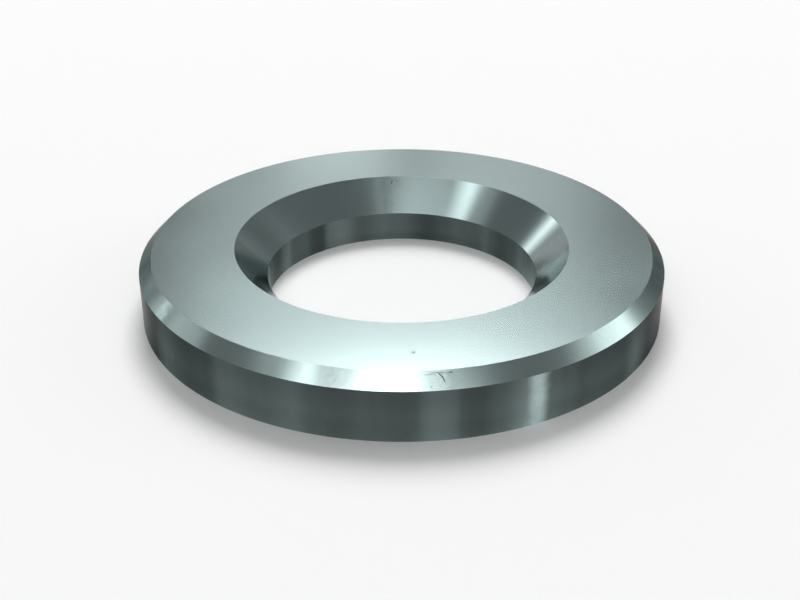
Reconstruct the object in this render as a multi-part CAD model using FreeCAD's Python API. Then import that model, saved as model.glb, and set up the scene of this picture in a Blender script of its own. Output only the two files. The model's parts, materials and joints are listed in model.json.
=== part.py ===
"""Hardened steel washer, turned from one piece.

A flat ring with two plain bearing faces. The upper face has a narrow 45 degree chamfer round its rim
and a deep countersink at the mouth of the bore, which clears the fillet under a bolt's head. Every
edge is slightly rounded, as the tumbling that takes off the burrs leaves it.
The origin is on the bore's axis in the lower bearing face, +Z is up the bore to the countersunk side.
"""
import FreeCAD, Part
import math
import os

# Driving sizes, in millimetres and degrees
OUTER_DIAMETER = 25.0
BORE_DIAMETER = 13.0
THICKNESS = 3.0
RIM_CHAMFER_WIDTH = 0.6  # measured across the upper face
RIM_CHAMFER_ANGLE = 45.0  # between the chamfer and the upper face
COUNTERSINK_DEPTH = 1.5  # measured down the bore's axis
COUNTERSINK_ANGLE = 90.0  # included angle of the whole cone
EDGE_RADIUS = 0.02  # left by light tumbling, on every edge

AXIS_POINT = FreeCAD.Vector(0, 0, 0)
AXIS_DIRECTION = FreeCAD.Vector(0, 0, 1)
FULL_TURN = 360


def section_point(radius, height):
    """A point of the half section, in the plane through the axis and +X."""
    return FreeCAD.Vector(radius, 0, height)


def half_section():
    """The sharp corners of the ring's section, from the foot of the bore outwards and round."""
    bore_radius = BORE_DIAMETER / 2
    rim_radius = OUTER_DIAMETER / 2
    chamfer_drop = RIM_CHAMFER_WIDTH * math.tan(math.radians(RIM_CHAMFER_ANGLE))
    mouth_radius = bore_radius + COUNTERSINK_DEPTH * math.tan(math.radians(COUNTERSINK_ANGLE / 2))
    return [
        section_point(bore_radius, 0),
        section_point(rim_radius, 0),
        section_point(rim_radius, THICKNESS - chamfer_drop),
        section_point(rim_radius - RIM_CHAMFER_WIDTH, THICKNESS),
        section_point(mouth_radius, THICKNESS),
        section_point(bore_radius, THICKNESS - COUNTERSINK_DEPTH),
    ]


def edge_arc(before, corner, after, radius):
    """The arc of that radius in a corner, tangent to the two straight sides that meet there."""
    to_before = (before - corner).normalize()
    to_after = (after - corner).normalize()
    half_angle = to_before.getAngle(to_after) / 2
    inwards = (to_before + to_after).normalize()
    tangent_length = radius / math.tan(half_angle)
    centre = corner + inwards * (radius / math.sin(half_angle))
    start = corner + to_before * tangent_length
    middle = centre - inwards * radius
    end = corner + to_after * tangent_length
    return start, middle, end


def rounded_outline(corners, radius):
    """A closed wire through the corners, with each of them rounded."""
    count = len(corners)
    arcs = [
        edge_arc(corners[i - 1], corners[i], corners[(i + 1) % count], radius)
        for i in range(count)
    ]
    edges = []
    for i, (start, middle, end) in enumerate(arcs):
        next_start = arcs[(i + 1) % count][0]
        edges.append(Part.Arc(start, middle, end).toShape())
        edges.append(Part.LineSegment(end, next_start).toShape())
    return Part.Wire(edges)


def turned_ring():
    """The washer: its rounded half section, turned once round the bore's axis."""
    section = Part.Face(rounded_outline(half_section(), EDGE_RADIUS))
    return section.revolve(AXIS_POINT, AXIS_DIRECTION, FULL_TURN)


os.makedirs("parts", exist_ok=True)
turned_ring().exportStep("parts/washer.step")
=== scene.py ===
"""A hardened steel washer, lying on a pale studio floor.

The ring is modelled as it is turned: a disc is bored, countersunk and chamfered round its rim, every edge
is eased, and the marks that it took later are cut into its two bevels. Its bearing faces are ground, the
bevels are turned bright, and its side and bore keep the dark skin of the hardening.
"""
import json
import math

import bpy
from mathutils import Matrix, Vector


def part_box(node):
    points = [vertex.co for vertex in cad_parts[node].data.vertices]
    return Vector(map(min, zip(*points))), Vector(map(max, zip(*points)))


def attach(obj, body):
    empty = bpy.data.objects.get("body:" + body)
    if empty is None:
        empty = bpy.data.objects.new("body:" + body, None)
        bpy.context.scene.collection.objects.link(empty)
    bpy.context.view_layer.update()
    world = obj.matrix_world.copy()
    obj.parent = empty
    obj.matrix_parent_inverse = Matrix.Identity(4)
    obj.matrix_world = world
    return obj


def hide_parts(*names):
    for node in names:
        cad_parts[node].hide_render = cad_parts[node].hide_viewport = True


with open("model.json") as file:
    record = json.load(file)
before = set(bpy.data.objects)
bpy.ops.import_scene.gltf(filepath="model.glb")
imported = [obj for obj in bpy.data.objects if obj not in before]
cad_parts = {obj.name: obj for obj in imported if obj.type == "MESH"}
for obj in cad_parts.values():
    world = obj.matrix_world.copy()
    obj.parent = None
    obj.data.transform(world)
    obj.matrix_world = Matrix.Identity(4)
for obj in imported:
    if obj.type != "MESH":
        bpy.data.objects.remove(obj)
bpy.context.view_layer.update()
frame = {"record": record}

MM = 0.001

# The ring's sizes. What the frame holds is read from it.
RING_LOW, RING_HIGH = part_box("washer")
OUTER_RADIUS = RING_HIGH.x
THICKNESS = RING_HIGH.z - RING_LOW.z
BORE_RADIUS = next(m["dims"]["r_mm"] for m in frame["record"]["mounts"] if m["name"] == "bore") * MM
COUNTERSINK_DEPTH = 1.5 * MM
RIM_CHAMFER_WIDTH = 0.6 * MM
EDGE_RADIUS = 0.005 * MM
MOUTH_RADIUS = BORE_RADIUS + COUNTERSINK_DEPTH
FACE_RADIUS = OUTER_RADIUS - RIM_CHAMFER_WIDTH
SHOULDER_HEIGHT = THICKNESS - RIM_CHAMFER_WIDTH
CONE_FOOT_HEIGHT = THICKNESS - COUNTERSINK_DEPTH
MIDDLE_RADIUS = (BORE_RADIUS + OUTER_RADIUS) / 2
RING_SEGMENTS = 720
EDGE_STEPS = 4
MARK_SIDES = 8

# Two places this close count as one.
NEARLY = 0.001 * MM

# How much of a face's normal points up or down, at the least, on the flats and on the bevels
FLAT_LEAN = 0.9
BEVEL_LEAN = 0.4

# Corners that turn less than this are shaded as smooth.
SMOOTHED_CORNER = math.radians(35)

# The ring's finishes, in the order of its material slots
GROUND_FACE, RIM_CHAMFER, COUNTERSINK, SIDE_AND_BORE, MARK = range(5)

# The camera, fitted to the photograph's edges, with the image as 800 x 600.
CAMERA_DISTANCE = 4.9766 * OUTER_RADIUS
CAMERA_ELEVATION = math.radians(28.446)
CAMERA_AIM = Vector((-0.0064, 0.0, -0.0184)) * OUTER_RADIUS
IMAGE_WIDTH = 800
FOCAL_LENGTH_PIXELS = 1261.18
SENSOR_WIDTH_MM = 36.0

# A bevel starts at that radius at the upper face, in millimetres, and runs outwards (1) or inwards (-1) as
# it drops.
RIM_BEVEL = (FACE_RADIUS / MM, 1)
MOUTH_BEVEL = (MOUTH_RADIUS / MM, -1)

# The marks that the ring has taken, each cut into a bevel, with its width in millimetres and its path. A
# point of a path has its angle round the ring in degrees from +X, and how far below the upper face it is,
# in millimetres.
MARKS = {
    "nick_stem": (RIM_BEVEL, 0.043, ((-83.2, 0.07), (-82.9, 0.12), (-82.55, 0.17), (-82.3, 0.23),
                                     (-82.1, 0.3), (-81.97, 0.38))),
    "nick_ledge": (RIM_BEVEL, 0.018, ((-84.8, 0.06), (-83.6, 0.075), (-82.7, 0.085), (-81.5, 0.095),
                                      (-80.3, 0.105))),
    "nick_lip": (RIM_BEVEL, 0.018, ((-86.15, 0.12), (-85.1, 0.13), (-84.35, 0.11), (-83.3, 0.11))),
    "nick_pit": (RIM_BEVEL, 0.042, ((-80.95, 0.08), (-80.6, 0.09), (-80.3, 0.1))),
    "nick_scratch": (RIM_BEVEL, 0.013, ((-87.9, 0.18), (-86.9, 0.155), (-86.2, 0.13))),
    "mouth_dent": (MOUTH_BEVEL, 0.06, ((93.5, 0.15), (93.85, 0.23), (94.05, 0.32))),
    "mouth_scratch": (MOUTH_BEVEL, 0.012, ((92.6, 0.08), (91.9, 0.18), (91.1, 0.3))),
}

# A mark's cutter is this share of its width at both tips.
MARK_TIP = 0.2

# Colours of the finishes
GROUND_STEEL = "#9BACAB"
CHAMFER_STEEL = "#C6DDDB"
COUNTERSINK_STEEL = "#B9CECD"
OILED_STEEL = "#C1CECD"
FROSTED_STEEL = "#C6D5D2"
DARK_SKIN = "#5C6766"
# The bare steel of the rubbed stretch, which also paints a reflected streak there
RUBBED_SHEEN_STEEL = "#C8DDDB"
NICK_DIRT = "#566361"
FLOOR_PAPER = "#F6F6F6"

# How much of a bare metal's brightness each finish keeps where it is seen at a glancing angle
# On the chamfer and on the skin this is painted shade: it dims what they mirror of the lit floor at a
# glance.
CHAMFER_GLANCE = (0.17, 0.15, 0.15, 1.0)
COUNTERSINK_GLANCE = (0.95, 0.95, 0.95, 1.0)
SKIN_GLANCE = (0.5, 0.5, 0.5, 1.0)

# The side and the bore are painted lighter or darker in soft upright bands, painted reflections of the room
# that they mirror. On the bevels, broad tones round the ring paint their reflections lighter or darker too.
# Each has its place round the ring, in degrees from +X, and its tone beside the finish's own colour.
SIDE_REFLECTION_BANDS = ((-160, 0.8), (-153, 0.35), (-146, 1.15), (-138, 0.7), (-131, 0.7), (-127, 1.25), (-119, 1.0),
              (-111, 1.25), (-107, 0.95), (-103, 0.8), (-96, 0.95), (-90, 0.85), (-87.5, 0.9),
              (-84.5, 1.45), (-81, 1.35), (-78, 0.8), (-75, 0.7), (-71, 1.0), (-69, 1.3), (-66, 1.95),
              (-60, 1.2), (-57, 1.0), (-52, 0.8), (-40, 0.8), (-35.5, 1.35), (-27, 0.4), (-18, 0.05),
              (0, 0.5), (90, 0.9))
BORE_REFLECTION_BANDS = ((-178, 3.2), (-165, 1.2), (-90, 0.9), (0, 3.0), (7, 2.7), (10, 2.15), (15, 1.7), (23, 1.35),
              (29, 0.8), (39, 0.55), (44, 0.7), (47, 0.9), (53, 0.65), (63, 0.75), (69, 0.6), (77, 0.45),
              (93, 0.8), (99, 0.9), (109, 0.65), (119, 1.15), (125, 1.05), (130, 0.4), (134, 0.45),
              (140, 0.8), (148, 0.9), (153, 1.5), (162, 0.9), (166, 1.0), (173, 1.75), (178, 4.0))
CHAMFER_REFLECTION_TONES = ((-176, 0.85), (-170, 0.55), (-163, 0.95), (-155, 1.1), (-151.5, 0.8), (-146.5, 0.95),
                  (-142, 1.05), (-137, 0.95), (-132, 1.0), (-113, 1.05), (-110, 1.1), (-108.5, 1.3),
                  (-107, 1.2), (-105.5, 1.0), (-103.5, 0.9), (-101.5, 1.05), (-85, 1.05), (-76, 1.0),
                  (-58, 1.05), (-46, 1.05), (-42, 1.0), (-38, 1.05), (-34, 0.9), (-30, 1.15), (-18, 0.75),
                  (-10, 0.5), (-4, 0.7), (20, 0.75), (178, 1.3))
COUNTERSINK_REFLECTION_TONES = ((-168, 0.7), (-160, 1.0), (-153, 1.2), (-148, 0.5), (-36, 0.5), (-28, 1.25),
                      (-14, 1.3), (-6, 1.05), (3, 0.95), (9, 1.05), (15, 1.0), (18, 1.1), (22.5, 0.95),
                      (27, 1.0), (57, 1.0), (62, 1.05), (66, 1.0), (146, 1.0), (153, 1.2), (165, 1.1),
                      (176, 1.2))

# Noise hardly leaves this range, so the patterns are spread over it.
NOISE_LOW = 0.3
NOISE_HIGH = 0.7

# A colour ramp holds nothing above one, so the tones are kept in it as shares of this one.
BRIGHTEST_TONE = 4.0

# On the upper face: four broad clouds of painted light and shade, and one dark pinprick. Each has its radius
# and angle on the ring, its width in millimetres, and how much paler or duller it is.
FACE_LIGHT_CLOUDS_AND_PINPRICK = ((8.8, -150, 9.0, 0.13), (12.0, 164, 8.0, -0.15), (12.2, -29, 5.0, -0.12),
              (12.0, 24, 6.0, 0.1), (10.46, -87.4, 0.31, -0.5))

# The dark dots on the rim's chamfer, each with its angle, how far below the upper face it is, and its width
CHAMFER_DOTS = ((-88.4, 0.22, 0.16), (-84.6, 0.48, 0.14))

# Stretches of the ring with a look of their own. Each runs from one angle to another, in degrees from +X,
# and ends over that softness.
NICK_SCRAPE = (-84.3, -81.5, 0.7)
LIGHT_SCRAPE = (-105.2, -101.2, 0.6)
PALE_BLOTCH = (-150.6, -147.4, 0.9)
CLOUDY_STRETCH = (-16.0, -3.0, 8.0)
OILED_STRETCH = (-40.0, 10.0, 10.0)
# Painted sheen: on these stretches of the countersink, along its highlights, it is painted lighter towards
# the mouth and darker towards the foot.
SHEEN_STRETCHES = ((10.5, 20.5, 2.5), (55.5, 68.0, 3.0))
MOUTH_SCUFF = (93.8, 98.0, 0.8)
MOUTH_SMUDGE = (89.5, 94.0, 1.5)
# The rubbed stretch of the side is worn bare steel that also carries a painted reflected streak.
RUBBED_SHEEN_STRETCH = (-65.0, -61.9, 1.3)

# The tool's feed, as the radius between one turning ring and the next, in millimetres
FEED = 0.085

# How far off the softboxes stand, in metres. The overhead one stands nearer, which leaves less grain in the
# light on the satin upper face.
LAMP_DISTANCE = 1.5
OVERHEAD_DISTANCE = 0.75

# The room's own light at the horizon and overhead, and how high the first gives way, with the zenith as 1
ROOM_LIGHT_LOW = 0.24
ROOM_LIGHT_HIGH = 0.14
ROOM_LOW_TOP = 0.35

FLOOR_SIZE = 8.0


def linear(hex_colour):
    """An sRGB hex colour as the linear colour that a shader takes."""
    channels = [int(hex_colour[i:i + 2], 16) / 255 for i in (1, 3, 5)]
    return [c / 12.92 if c <= 0.04045 else ((c + 0.055) / 1.055) ** 2.4 for c in channels] + [1.0]


def add_node(tree, kind, settings=None, inputs=None):
    """One node with its settings. An input is given a value, a socket, or a node for its first output."""
    made = tree.nodes.new(kind)
    for name, value in (settings or {}).items():
        setattr(made, name, value)
    for name, value in (inputs or {}).items():
        if isinstance(value, bpy.types.Node):
            value = value.outputs[0]
        if isinstance(value, bpy.types.NodeSocket):
            tree.links.new(value, made.inputs[name])
        else:
            made.inputs[name].default_value = value
    return made


def new_material(name):
    """A material with an empty node tree, and its tree."""
    material = bpy.data.materials.new(name)
    material.use_nodes = True
    material.node_tree.nodes.clear()
    return material, material.node_tree


def place_on_ring(tree):
    """A point's place in millimetres, its angle in degrees from +X, its radius and its height."""
    coordinates = add_node(tree, "ShaderNodeTexCoord")
    place = add_node(tree, "ShaderNodeVectorMath", {"operation": "SCALE"},
                     {"Vector": coordinates.outputs["Object"], "Scale": 1 / MM})
    xyz = add_node(tree, "ShaderNodeSeparateXYZ", inputs={"Vector": place})
    turn = add_node(tree, "ShaderNodeMath", {"operation": "ARCTAN2"},
                    {0: xyz.outputs["Y"], 1: xyz.outputs["X"]})
    angle = add_node(tree, "ShaderNodeMath", {"operation": "DEGREES"}, {0: turn})
    level = add_node(tree, "ShaderNodeVectorMath", {"operation": "MULTIPLY"}, {0: place, 1: (1, 1, 0)})
    radius = add_node(tree, "ShaderNodeVectorMath", {"operation": "LENGTH"}, {0: level})
    return place.outputs[0], angle.outputs[0], radius.outputs["Value"], xyz.outputs["Z"]


def soft_window(tree, value, low, high, softness):
    """One between low and high, and nothing beyond the softness outside them."""
    middle, half = (low + high) / 2, (high - low) / 2
    offset = add_node(tree, "ShaderNodeMath", {"operation": "SUBTRACT"}, {0: value, 1: middle})
    distance = add_node(tree, "ShaderNodeMath", {"operation": "ABSOLUTE"}, {0: offset})
    return add_node(tree, "ShaderNodeMapRange", {"interpolation_type": "SMOOTHSTEP"}, {
        "Value": distance, "From Min": half + softness, "From Max": max(half - softness, 0)})


def soft_spot(tree, place, centre, size):
    """One at the centre of a spot of that width in millimetres, and nothing from its rim outwards."""
    distance = add_node(tree, "ShaderNodeVectorMath", {"operation": "DISTANCE"}, {0: place, 1: centre})
    return add_node(tree, "ShaderNodeMapRange", {"interpolation_type": "SMOOTHSTEP"}, {
        "Value": distance.outputs["Value"], "From Min": size / 2, "From Max": 0})


def mottle(tree, place, grain, low, high, squash=(1, 1, 1), detail=3):
    """Noise between low and high. Its grain is the width of one patch, in millimetres."""
    flattened = add_node(tree, "ShaderNodeVectorMath", {"operation": "MULTIPLY"}, {0: place, 1: squash})
    noise = add_node(tree, "ShaderNodeTexNoise", inputs={
        "Vector": flattened, "Scale": 1 / (2 * grain), "Detail": detail, "Roughness": 0.5})
    return add_node(tree, "ShaderNodeMapRange", inputs={
        "Value": noise.outputs[0], "From Min": NOISE_LOW, "From Max": NOISE_HIGH,
        "To Min": low, "To Max": high})


def product(tree, *factors):
    """The product of several patterns."""
    result = factors[0]
    for factor in factors[1:]:
        result = add_node(tree, "ShaderNodeMath", {"operation": "MULTIPLY"}, {0: result, 1: factor})
    return result


def total(tree, *parts):
    """The sum of several patterns."""
    result = parts[0]
    for part in parts[1:]:
        result = add_node(tree, "ShaderNodeMath", {"operation": "ADD"}, {0: result, 1: part})
    return result


def toned(tree, colour, *tones):
    """A colour made lighter or darker by several patterns."""
    return add_node(tree, "ShaderNodeVectorMath", {"operation": "SCALE"},
                    {"Vector": colour, "Scale": product(tree, *tones)})


def patched(tree, patches, colour, patch_colour):
    """A colour that turns into another where the pattern of patches is one. Of a Mix node, the colours are
    the inputs 6 and 7 and the output 2."""
    mix = add_node(tree, "ShaderNodeMix", {"data_type": "RGBA"},
                   {"Factor": patches, 6: colour, 7: patch_colour})
    return mix.outputs[2]


def ring_place(radius, height, angle):
    """A place on the ring in millimetres, from its radius, height and angle in degrees from +X."""
    turn = math.radians(angle)
    return Vector((radius * math.cos(turn), radius * math.sin(turn), height))


def bevel_place(bevel, angle, below_face):
    """A place on a bevel in millimetres, from its angle and how far below the upper face it is."""
    start, outwards = bevel
    return ring_place(start + outwards * below_face, THICKNESS / MM - below_face, angle)


def tone_round_ring(tree, angle, bands):
    """The tone at an angle, running softly from each band to the next and closing on itself behind."""
    behind = (bands[0][1] + bands[-1][1]) / 2
    bands = ((-180, behind), *bands, (180, behind))
    share = add_node(tree, "ShaderNodeMapRange", inputs={"Value": angle, "From Min": -180, "From Max": 180})
    ramp = add_node(tree, "ShaderNodeValToRGB", inputs={"Fac": share})
    ramp.color_ramp.interpolation = "EASE"
    stops = ramp.color_ramp.elements
    while len(stops) < len(bands):
        stops.new(1.0)
    for stop, (at, tone) in zip(stops, bands):
        stop.position = (at + 180) / 360
        stop.color = [tone / BRIGHTEST_TONE] * 3 + [1.0]
    return product(tree, ramp, BRIGHTEST_TONE)


def painted_lift_to_foot(tree, height, top, power, at_top, at_foot):
    """How much lighter a surface is painted from its top down to its foot: painted light against the
    shadowed floor that it mirrors low down.
    """
    depth = add_node(tree, "ShaderNodeMapRange", inputs={
        "Value": height, "From Min": top / MM, "From Max": 0})
    bent = add_node(tree, "ShaderNodeMath", {"operation": "POWER"}, {0: depth, 1: power})
    return add_node(tree, "ShaderNodeMapRange", inputs={"Value": bent, "To Min": at_top, "To Max": at_foot})


def ground_face_steel():
    """Hardened steel, surface ground and then tumbled: an even satin with a few soft clouds of painted light
    and shade and a pinprick, in which the lay of the grinding hardly shows. The grit leaves lines some 0.02
    mm apart, drawn 0.15 mm apart."""
    material, tree = new_material("ground_face_steel")
    place = place_on_ring(tree)[0]
    # Painted light and shade in four broad clouds, and the real pinprick.
    marks = [product(tree, soft_spot(tree, place, ring_place(radius, THICKNESS / MM, angle), width), tone)
             for radius, angle, width, tone in FACE_LIGHT_CLOUDS_AND_PINPRICK]
    cloud = mottle(tree, place, 3.5, 0.975, 1.02)
    grit = mottle(tree, place, 0.15, 0.996, 1.004, detail=2)
    lay = mottle(tree, place, 0.15, 0.996, 1.004, squash=(0.03, 1, 1), detail=2)
    colour = toned(tree, linear(GROUND_STEEL)[:3], cloud, total(tree, *marks, 1.0), grit, lay)
    roughness = mottle(tree, place, 4.5, 0.195, 0.208, detail=1)
    lines = mottle(tree, place, 0.15, 0, 1, squash=(0.03, 1, 1), detail=2)
    pores = mottle(tree, place, 0.25, 0, 0.6)
    relief = add_node(tree, "ShaderNodeBump", inputs={
        "Strength": 0.008, "Distance": 0.0004 * MM, "Height": total(tree, lines, pores)})
    shader = add_node(tree, "ShaderNodeBsdfPrincipled", inputs={
        "Base Color": colour, "Metallic": 1.0, "Roughness": roughness, "Normal": relief})
    add_node(tree, "ShaderNodeOutputMaterial", inputs={"Surface": shader})
    return material


def turning_rings(tree, place, radius):
    """The faint rings of the tool's feed, here strong and there rubbed away. They are 0.05 mm apart on such
    a part, drawn 0.12 mm apart down the bevel so that they show."""
    feed = add_node(tree, "ShaderNodeMath", {"operation": "MULTIPLY"}, {0: radius, 1: 2 * math.pi / FEED})
    rings = add_node(tree, "ShaderNodeMath", {"operation": "SINE"}, {0: feed})
    height = product(tree, rings, mottle(tree, place, 1.6, 0.0, 1.0))
    return add_node(tree, "ShaderNodeBump", inputs={
        "Strength": 0.2, "Distance": 0.0001 * MM, "Height": height})


def turned_grain(tree, place):
    """The slight unevenness in the tone of a turned bevel: broad patches, and a grain of some 0.02 mm,
    drawn 0.12 mm wide."""
    patches = mottle(tree, place, 2.5, 0.98, 1.02)
    grain = mottle(tree, place, 0.12, 0.985, 1.015, detail=2)
    return product(tree, patches, grain)


def turned_chamfer_steel():
    """Hardened steel, fine turned and then rolled over in a box of others: bright, with faint turning
    rings, two dark dots and one pale blotch, and broad tones round the ring that paint its reflections.
    Beside the nick it is scraped to a pale frost, and a little so on one other stretch. Seen aslant its
    reflections are dimmed, a painted shade on the ends of the chamfer where it mirrors the floor."""
    material, tree = new_material("turned_chamfer_steel")
    place, angle, radius = place_on_ring(tree)[:3]
    ragged = total(tree, angle, mottle(tree, place, 0.2, -0.5, 0.5))
    light_scrape = product(tree, soft_window(tree, ragged, *LIGHT_SCRAPE), 0.5)
    scrapes = total(tree, soft_window(tree, ragged, *NICK_SCRAPE), light_scrape)
    frost = add_node(tree, "ShaderNodeClamp", inputs={
        "Value": product(tree, scrapes, mottle(tree, place, 0.09, 0.0, 1.0))})
    dots = total(tree, *(soft_spot(tree, place, bevel_place(RIM_BEVEL, dot_angle, below_face), width)
                         for dot_angle, below_face, width in CHAMFER_DOTS))
    undotted = add_node(tree, "ShaderNodeMath", {"operation": "MULTIPLY_ADD"}, {0: dots, 1: -0.28, 2: 1.0})
    torn = total(tree, angle, mottle(tree, place, 0.25, -1.1, 1.1))
    blotch = product(tree, soft_window(tree, torn, *PALE_BLOTCH), mottle(tree, place, 0.2, 0.0, 0.44))
    steel = toned(tree, linear(CHAMFER_STEEL)[:3], undotted, total(tree, blotch, 1.0),
                  tone_round_ring(tree, angle, CHAMFER_REFLECTION_TONES), turned_grain(tree, place))
    colour = patched(tree, frost, steel, linear(FROSTED_STEEL))
    roughness = total(tree, mottle(tree, place, 2.0, 0.17, 0.19), product(tree, frost, 0.12))
    shader = add_node(tree, "ShaderNodeBsdfPrincipled", inputs={
        "Base Color": colour, "Metallic": 1.0, "Roughness": roughness,
        "Normal": turning_rings(tree, place, radius), "Specular Tint": CHAMFER_GLANCE})
    add_node(tree, "ShaderNodeOutputMaterial", inputs={"Surface": shader})
    return material


def turned_countersink_steel():
    """Hardened steel, fine turned: bright, with faint turning rings, and broad tones round the ring that
    paint its reflections. A film of oil dried to a cloudy stain on one side, the mouth has a scuff and a
    smudge, and on two stretches, along the highlights, a painted sheen makes it lighter towards the mouth
    and darker towards the foot."""
    material, tree = new_material("turned_countersink_steel")
    place, angle, radius, height = place_on_ring(tree)
    cloudy = product(tree, soft_window(tree, angle, *CLOUDY_STRETCH), mottle(tree, place, 0.5, -0.4, 1.0))
    ragged = total(tree, angle, mottle(tree, place, 0.25, -1.3, 1.3))
    scuff = product(tree, soft_window(tree, ragged, *MOUTH_SCUFF), mottle(tree, place, 0.3, 0.2, 1.0))
    smudge = product(tree, soft_window(tree, angle, *MOUTH_SMUDGE), mottle(tree, place, 0.22, -0.3, 1.0))
    stains = total(tree, product(tree, cloudy, 0.2), product(tree, scuff, 0.13), product(tree, smudge, 0.07))
    unstained = add_node(tree, "ShaderNodeMath", {"operation": "SUBTRACT"}, {0: 1.0, 1: stains})
    # Painted sheen along the highlights: lighter towards the mouth, darker towards the foot.
    up_the_cone = add_node(tree, "ShaderNodeMapRange", inputs={
        "Value": height, "From Min": CONE_FOOT_HEIGHT / MM, "From Max": THICKNESS / MM,
        "To Min": -0.17, "To Max": 0.13})
    stretches = total(tree, *(soft_window(tree, angle, *stretch) for stretch in SHEEN_STRETCHES))
    painted_sheen = total(tree, product(tree, up_the_cone, stretches), 1.0)
    steel = patched(tree, soft_window(tree, angle, *OILED_STRETCH),
                    linear(COUNTERSINK_STEEL), linear(OILED_STEEL))
    colour = toned(tree, steel, unstained, painted_sheen, tone_round_ring(tree, angle, COUNTERSINK_REFLECTION_TONES),
                   turned_grain(tree, place))
    roughness = total(tree, mottle(tree, place, 2.0, 0.17, 0.19), product(tree, cloudy, 0.08))
    shader = add_node(tree, "ShaderNodeBsdfPrincipled", inputs={
        "Base Color": colour, "Metallic": 1.0, "Roughness": roughness,
        "Normal": turning_rings(tree, place, radius), "Specular Tint": COUNTERSINK_GLANCE})
    add_node(tree, "ShaderNodeOutputMaterial", inputs={"Surface": shader})
    return material


def dark_skin_steel():
    """Hardened steel with the thin dark skin that the quench oil leaves: dull, with fine runs down it, and
    lighter or darker in soft upright bands of painted reflection. It is painted lighter towards the foot,
    against the shadowed floor that it mirrors there, and on one stretch of the side it is rubbed through to
    frosted steel, with a painted reflected streak on it, which is painted brighter towards the foot too."""
    material, tree = new_material("dark_skin_steel")
    place, angle, radius, height = place_on_ring(tree)
    outside = add_node(tree, "ShaderNodeMath", {"operation": "GREATER_THAN"},
                       {0: radius, 1: MIDDLE_RADIUS / MM})
    # Painted light: the side and the bore are painted lighter towards the foot, where they mirror the floor
    # in the washer's shadow.
    side_painted_lift = painted_lift_to_foot(tree, height, SHOULDER_HEIGHT, power=2, at_top=0.65, at_foot=2.4)
    bore_painted_lift = painted_lift_to_foot(tree, height, CONE_FOOT_HEIGHT, power=3, at_top=1.0, at_foot=2.6)
    # Painted reflections: the bands round the ring, times the painted lightening towards the foot.
    side_painted_tone = product(tree, tone_round_ring(tree, angle, SIDE_REFLECTION_BANDS), side_painted_lift)
    bore_painted_tone = product(tree, tone_round_ring(tree, angle, BORE_REFLECTION_BANDS), bore_painted_lift)
    # Of a Mix node, the share is the input 0, and the two numbers are the inputs 2 and 3.
    painted_skin_tone = add_node(tree, "ShaderNodeMix", {"data_type": "FLOAT"},
                         {0: outside, 2: bore_painted_tone, 3: side_painted_tone})
    runs = mottle(tree, place, 0.5, 0.95, 1.05, squash=(1, 1, 0.08))
    patches = mottle(tree, place, 0.35, 0.985, 1.015)
    skin = toned(tree, linear(DARK_SKIN)[:3], painted_skin_tone.outputs[0], runs, patches)
    # Worn through on one stretch of the side, with a painted reflected streak there too.
    ragged = total(tree, angle, mottle(tree, place, 0.3, -0.22, 0.22))
    rubbed = product(tree, outside, soft_window(tree, ragged, *RUBBED_SHEEN_STRETCH),
                     mottle(tree, place, 0.25, 0.8, 1.0))
    # The bare stretch is painted brighter towards the foot as well.
    bare_painted_lift = add_node(tree, "ShaderNodeMath", {"operation": "MULTIPLY_ADD"},
                           {0: side_painted_lift, 1: 0.6, 2: 0.38})
    bare_tone = add_node(tree, "ShaderNodeMath", {"operation": "MINIMUM"}, {0: bare_painted_lift, 1: 1.38})
    bare = toned(tree, linear(RUBBED_SHEEN_STEEL)[:3], bare_tone, mottle(tree, place, 0.2, 0.9, 1.08))
    colour = patched(tree, rubbed, skin, bare)
    roughness = total(tree, mottle(tree, place, 0.8, 0.26, 0.31, squash=(1, 1, 0.2)),
                      product(tree, rubbed, 0.12))
    crust = mottle(tree, place, 0.14, 0, 1, squash=(1, 1, 0.4))
    relief = add_node(tree, "ShaderNodeBump", inputs={
        "Strength": 0.12, "Distance": 0.0006 * MM, "Height": crust})
    shader = add_node(tree, "ShaderNodeBsdfPrincipled", inputs={
        "Base Color": colour, "Metallic": 1.0, "Roughness": roughness, "Normal": relief,
        "Specular Tint": SKIN_GLANCE})
    add_node(tree, "ShaderNodeOutputMaterial", inputs={"Surface": shader})
    return material


def nick_steel():
    """Torn steel with dirt in it: dark and dull."""
    material, tree = new_material("nick_steel")
    place = place_on_ring(tree)[0]
    colour = toned(tree, linear(NICK_DIRT)[:3], mottle(tree, place, 0.08, 0.7, 1.3))
    shader = add_node(tree, "ShaderNodeBsdfPrincipled", inputs={
        "Base Color": colour, "Metallic": 1.0, "Roughness": 0.45})
    add_node(tree, "ShaderNodeOutputMaterial", inputs={"Surface": shader})
    return material


def floor_paper():
    """Matt white paper, without sheen."""
    material, tree = new_material("floor_paper")
    shader = add_node(tree, "ShaderNodeBsdfDiffuse", inputs={"Color": linear(FLOOR_PAPER)})
    add_node(tree, "ShaderNodeOutputMaterial", inputs={"Surface": shader})
    return material


def deselect_all():
    """Nothing stays selected, neither an object nor a part of the mesh in hand."""
    if bpy.context.mode == "EDIT_MESH":
        bpy.ops.mesh.select_all(action="DESELECT")
    else:
        bpy.ops.object.select_all(action="DESELECT")


def select_faces(ring, wanted):
    """In edit mode, selects just the faces for which wanted is true."""
    bpy.ops.mesh.select_mode(type="FACE")
    deselect_all()
    bpy.ops.object.mode_set(mode="OBJECT")
    for face in ring.data.polygons:
        face.select = wanted(face)
    bpy.ops.object.mode_set(mode="EDIT")


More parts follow.
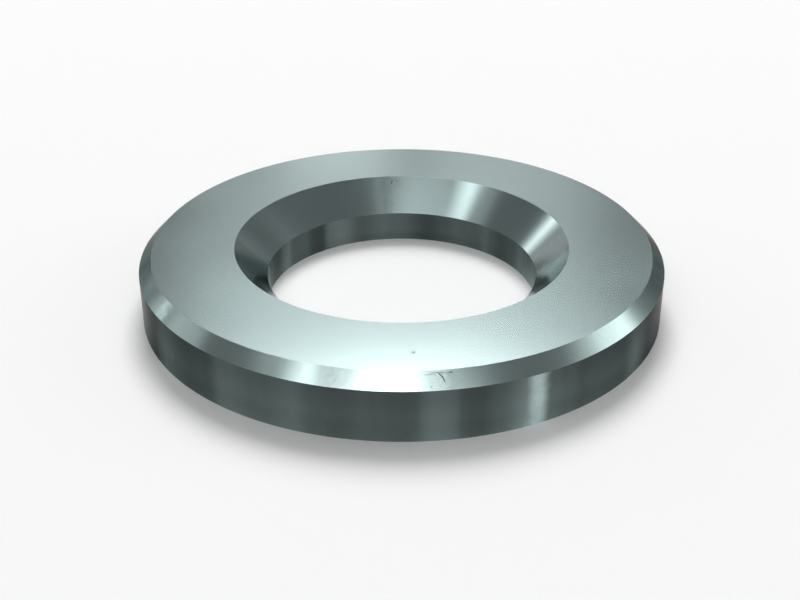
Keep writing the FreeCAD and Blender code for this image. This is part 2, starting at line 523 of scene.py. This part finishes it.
def select_hoop(ring, radius, height):
    """In edit mode, selects the round edge of that radius at that height."""
    bpy.ops.mesh.select_mode(type="EDGE")
    deselect_all()
    bpy.ops.object.mode_set(mode="OBJECT")
    points = ring.data.vertices
    on_hoop = [abs(p.co.xy.length - radius) < NEARLY and abs(p.co.z - height) < NEARLY for p in points]
    for edge in ring.data.edges:
        edge.select = all(on_hoop[i] for i in edge.vertices)
    bpy.ops.object.mode_set(mode="EDIT")


def bevel_hoop(ring, radius, height, width, steps=1):
    """Cuts the corner at a round edge, or rounds it where there are several steps."""
    select_hoop(ring, radius, height)
    bpy.ops.mesh.bevel(offset_type="OFFSET", offset=width, segments=steps, profile=0.5,
                       affect="EDGES", clamp_overlap=False)


def washer_ring():
    """The washer, from a disc: bored, countersunk, chamfered, and eased at every edge."""
    deselect_all()
    bpy.ops.mesh.primitive_cylinder_add(vertices=RING_SEGMENTS, radius=OUTER_RADIUS, depth=THICKNESS,
                                        end_fill_type="NGON", location=(0, 0, THICKNESS / 2))
    ring = bpy.context.object
    ring.name = "washer_ring"
    bpy.ops.object.transform_apply(location=True, rotation=True, scale=True)
    bpy.ops.object.mode_set(mode="EDIT")
    select_faces(ring, lambda face: abs(face.normal.z) > FLAT_LEAN)
    flat_to_flat = math.cos(math.pi / RING_SEGMENTS)
    bpy.ops.mesh.inset(thickness=(OUTER_RADIUS - BORE_RADIUS) * flat_to_flat, use_even_offset=True)
    bpy.ops.mesh.bridge_edge_loops()
    bevel_hoop(ring, BORE_RADIUS, THICKNESS, COUNTERSINK_DEPTH)
    bevel_hoop(ring, OUTER_RADIUS, THICKNESS, RIM_CHAMFER_WIDTH)
    square_corners = ((BORE_RADIUS, 0.0), (OUTER_RADIUS, 0.0))
    blunt_corners = ((MOUTH_RADIUS, THICKNESS), (BORE_RADIUS, CONE_FOOT_HEIGHT),
                     (FACE_RADIUS, THICKNESS), (OUTER_RADIUS, SHOULDER_HEIGHT))
    for corners, turn in ((square_corners, math.radians(90)), (blunt_corners, math.radians(45))):
        for radius, height in corners:
            bevel_hoop(ring, radius, height, EDGE_RADIUS * math.tan(turn / 2), EDGE_STEPS)
    bpy.ops.mesh.select_all(action="SELECT")
    bpy.ops.mesh.remove_doubles(threshold=NEARLY / 4)
    bpy.ops.mesh.normals_make_consistent(inside=False)
    bpy.ops.object.mode_set(mode="OBJECT")
    return ring


def mark_cutter(name, width, path):
    """A thin spindle along a path, as wide as that in the middle and pointed at both ends."""
    deselect_all()
    run = (path[-1] - path[0]).normalized()
    bpy.ops.mesh.primitive_circle_add(vertices=MARK_SIDES, radius=width / 2, fill_type="NGON",
                                      location=path[0], rotation=run.to_track_quat("Z", "Y").to_euler())
    cutter = bpy.context.object
    cutter.name = name
    bpy.ops.object.transform_apply(location=True, rotation=True, scale=True)
    bpy.ops.object.mode_set(mode="EDIT")
    bpy.ops.mesh.select_all(action="SELECT")
    bpy.ops.transform.resize(value=(MARK_TIP, MARK_TIP, MARK_TIP), center_override=path[0])
    girth = MARK_TIP
    for i in range(1, len(path)):
        bpy.ops.mesh.extrude_region_move(TRANSFORM_OT_translate={"value": path[i] - path[i - 1]})
        next_girth = MARK_TIP if i == len(path) - 1 else 1.0
        grown = next_girth / girth
        bpy.ops.transform.resize(value=(grown, grown, grown), center_override=path[i])
        girth = next_girth
    bpy.ops.mesh.select_all(action="SELECT")
    bpy.ops.mesh.normals_make_consistent(inside=False)
    bpy.ops.object.mode_set(mode="OBJECT")
    return cutter


def cut_marks(ring):
    """Cuts the marks into the two bevels. The cuts take the marks' own finish."""
    for name, (bevel, width, points) in MARKS.items():
        cutter = mark_cutter(name, width * MM, [bevel_place(bevel, *point) * MM for point in points])
        for material in ring.data.materials:
            cutter.data.materials.append(material)
        for face in cutter.data.polygons:
            face.material_index = MARK
        deselect_all()
        ring.select_set(True)
        bpy.context.view_layer.objects.active = ring
        bpy.ops.object.modifier_add(type="BOOLEAN")
        boolean = ring.modifiers[-1]
        boolean.operation = "DIFFERENCE"
        boolean.solver = "EXACT"
        boolean.object = cutter
        bpy.ops.object.modifier_apply(modifier=boolean.name)
        bpy.data.objects.remove(cutter, do_unlink=True)


def sharpen_marks(ring):
    """Keeps the borders of the cuts crisp, so that the bevel beside them is shaded as if it were whole."""
    bpy.ops.object.mode_set(mode="EDIT")
    select_faces(ring, lambda face: face.material_index == MARK)
    bpy.ops.mesh.region_to_loop()
    bpy.ops.mesh.mark_sharp()
    bpy.ops.object.mode_set(mode="OBJECT")


def straighten_shading(ring):
    """Shades each turned surface as straight across, so that only the eased edges bend the light."""
    def is_turned(face):
        lean = math.degrees(math.asin(min(abs(face.normal.z), 1)))
        straight = any(abs(lean - angle) < 1 for angle in (0, 45, 90))
        return straight and face.material_index != MARK

    bpy.ops.object.mode_set(mode="EDIT")
    select_faces(ring, is_turned)
    bpy.ops.mesh.set_normals_from_faces(keep_sharp=True)
    bpy.ops.object.mode_set(mode="OBJECT")


def finish_of_face(face):
    """The slot of a face's finish, from how the face lies and on which side of the ring it is."""
    lean = abs(face.normal.z)
    if lean > FLAT_LEAN:
        return GROUND_FACE
    if lean > BEVEL_LEAN:
        return RIM_CHAMFER if face.center.xy.length > MOUTH_RADIUS + EDGE_RADIUS else COUNTERSINK
    return SIDE_AND_BORE


def finish_ring(ring):
    """Gives each surface its finish, cuts the marks, and smooths the ring without bending its flats."""
    finishes = (ground_face_steel(), turned_chamfer_steel(), turned_countersink_steel(), dark_skin_steel(),
                nick_steel())
    for material in finishes:
        ring.data.materials.append(material)
    for face in ring.data.polygons:
        face.material_index = finish_of_face(face)
    cut_marks(ring)
    deselect_all()
    ring.select_set(True)
    bpy.context.view_layer.objects.active = ring
    bpy.ops.object.shade_smooth_by_angle(angle=SMOOTHED_CORNER)
    sharpen_marks(ring)
    straighten_shading(ring)


def studio_floor():
    """A wide sheet of white paper under the washer."""
    deselect_all()
    bpy.ops.mesh.primitive_plane_add(size=FLOOR_SIZE, location=(0, 0, 0))
    floor = bpy.context.object
    floor.name = "paper_floor"
    floor.data.materials.append(floor_paper())


def towards(azimuth, elevation):
    """The direction from the washer. Azimuth 0 is away from the camera, 90 to its right, in degrees."""
    a, e = math.radians(azimuth), math.radians(elevation)
    return Vector((math.sin(a) * math.cos(e), math.cos(a) * math.cos(e), math.sin(e)))


def soft_cloth(lamp, edge, round_cloth):
    """Dims a softbox's cloth towards its border, over that share of the way in from it. The parametric
    place runs from 0 to 1 across the cloth, and the fade is half the width of the dimming."""
    lamp.use_nodes = True
    tree = lamp.node_tree
    tree.nodes.clear()
    across = add_node(tree, "ShaderNodeNewGeometry").outputs["Parametric"]
    fade = edge / 4
    if round_cloth:
        reach = add_node(tree, "ShaderNodeVectorMath", {"operation": "DISTANCE"},
                         {0: across, 1: (0.5, 0.5, 0)})
        glow = soft_window(tree, reach.outputs["Value"], fade - 0.5, 0.5 - fade, fade)
    else:
        xy = add_node(tree, "ShaderNodeSeparateXYZ", inputs={"Vector": across})
        sides = [soft_window(tree, xy.outputs[name], fade, 1 - fade, fade) for name in ("X", "Y")]
        glow = product(tree, *sides)
    bulb = add_node(tree, "ShaderNodeEmission", inputs={"Strength": glow})
    add_node(tree, "ShaderNodeOutputLight", inputs={"Surface": bulb})


def softbox(name, azimuth, elevation, width, height, brightness, edge, shape="RECTANGLE",
            distance=LAMP_DISTANCE):
    """A softbox, aimed at the washer. Its width and height are the angles that it fills, in degrees, and
    its edge is the share of each half over which it dims."""
    lamp = bpy.data.lights.new(name, "AREA")
    lamp.shape = shape
    lamp.size = 2 * distance * math.tan(math.radians(width / 2))
    lamp.size_y = 2 * distance * math.tan(math.radians(height / 2))
    area = lamp.size * lamp.size_y * (math.pi / 4 if shape == "ELLIPSE" else 1)
    lamp.energy = brightness * math.pi * area
    soft_cloth(lamp, edge, shape == "ELLIPSE")
    holder = bpy.data.objects.new(name, lamp)
    direction = towards(azimuth, elevation)
    holder.location = direction * distance
    holder.rotation_euler = (-direction).to_track_quat("-Z", "Y").to_euler()
    holder.visible_camera = False
    bpy.context.scene.collection.objects.link(holder)


def studio_room():
    """The dim pale room behind the softboxes, a little lighter low down."""
    world = bpy.data.worlds.new("studio_room")
    bpy.context.scene.world = world
    world.use_nodes = True
    tree = world.node_tree
    tree.nodes.clear()
    direction = add_node(tree, "ShaderNodeTexCoord")
    xyz = add_node(tree, "ShaderNodeSeparateXYZ", inputs={"Vector": direction.outputs["Generated"]})
    strength = add_node(tree, "ShaderNodeMapRange", inputs={
        "Value": xyz.outputs["Z"], "From Min": 0.0, "From Max": ROOM_LOW_TOP,
        "To Min": ROOM_LIGHT_LOW, "To Max": ROOM_LIGHT_HIGH})
    room = add_node(tree, "ShaderNodeBackground", inputs={"Color": (1, 1, 1, 1), "Strength": strength})
    add_node(tree, "ShaderNodeOutputWorld", inputs={"Surface": room})


def studio_light():
    """Softboxes all round, for the bevels to mirror: one overhead, a bright one behind the washer with its
    glow below it, a strip and a fill on the camera's side, and boxes at the left and the right."""
    # Name, azimuth, elevation, width, height, brightness and edge
    softbox("overhead", 0, 72, 62, 32, 0.77, 0.04, "ELLIPSE", OVERHEAD_DISTANCE)
    softbox("back_key", 0.75, 50.25, 27.5, 32, 11, 0.04, "ELLIPSE")
    softbox("back_glow_left", -6, 24.5, 10.5, 24, 0.36, 0.1)
    softbox("back_glow_middle", -3, 17, 6, 11, 1.05, 0.2)
    softbox("back_glow_right", 5.5, 19.5, 9, 18.5, 0.58, 0.3)
    softbox("camera_strip", -153.5, 48.5, 49, 9.5, 2.6, 0.35)
    softbox("camera_strip_hot", -173.5, 54, 34, 11.5, 5.5, 0.85)
    softbox("camera_strip_tail", 162.5, 47, 44.5, 16.5, 2.75, 0.8)
    softbox("camera_fill", -163.5, 64.5, 34, 8, 0.6, 0.05)
    softbox("camera_fill_tail", 150.5, 61, 3.5, 20, 0.25, 0.15)
    softbox("camera_corner", -116.5, 55.5, 17.5, 7.5, 1.7, 0.2)
    softbox("camera_streak", -101, 54, 20, 22.5, 0.25, 0.15)
    softbox("right_box", 78, 18, 32, 36, 1.5, 0.65)
    softbox("right_box_tail", 94, 32.5, 24, 10.5, 0.4, 0.1)
    softbox("left_streak", -45.5, 19, 11.5, 31, 2.1, 0.9)
    softbox("left_box", -75, 22, 17, 19.5, 0.4, 0.1)
    softbox("left_slit", -60, 15.5, 7.5, 18.5, 0.75, 0.15)
    softbox("left_horizon", -27, 11, 23, 11.5, 0.25, 0.1)


def camera():
    """The camera at the photograph's place."""
    lens = bpy.data.cameras.new("camera")
    lens.sensor_width = SENSOR_WIDTH_MM
    lens.lens = FOCAL_LENGTH_PIXELS * SENSOR_WIDTH_MM / IMAGE_WIDTH
    lens.clip_start = MM
    holder = bpy.data.objects.new("camera", lens)
    forward = Vector((0, math.cos(CAMERA_ELEVATION), -math.sin(CAMERA_ELEVATION)))
    holder.location = CAMERA_AIM - forward * CAMERA_DISTANCE
    holder.rotation_euler = (math.pi / 2 - CAMERA_ELEVATION, 0, 0)
    bpy.context.scene.collection.objects.link(holder)
    bpy.context.scene.camera = holder


camera()
ring = washer_ring()
finish_ring(ring)
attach(ring, "root")
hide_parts("washer")
studio_floor()
studio_room()
studio_light()
bpy.context.scene.view_settings.view_transform = "Standard"
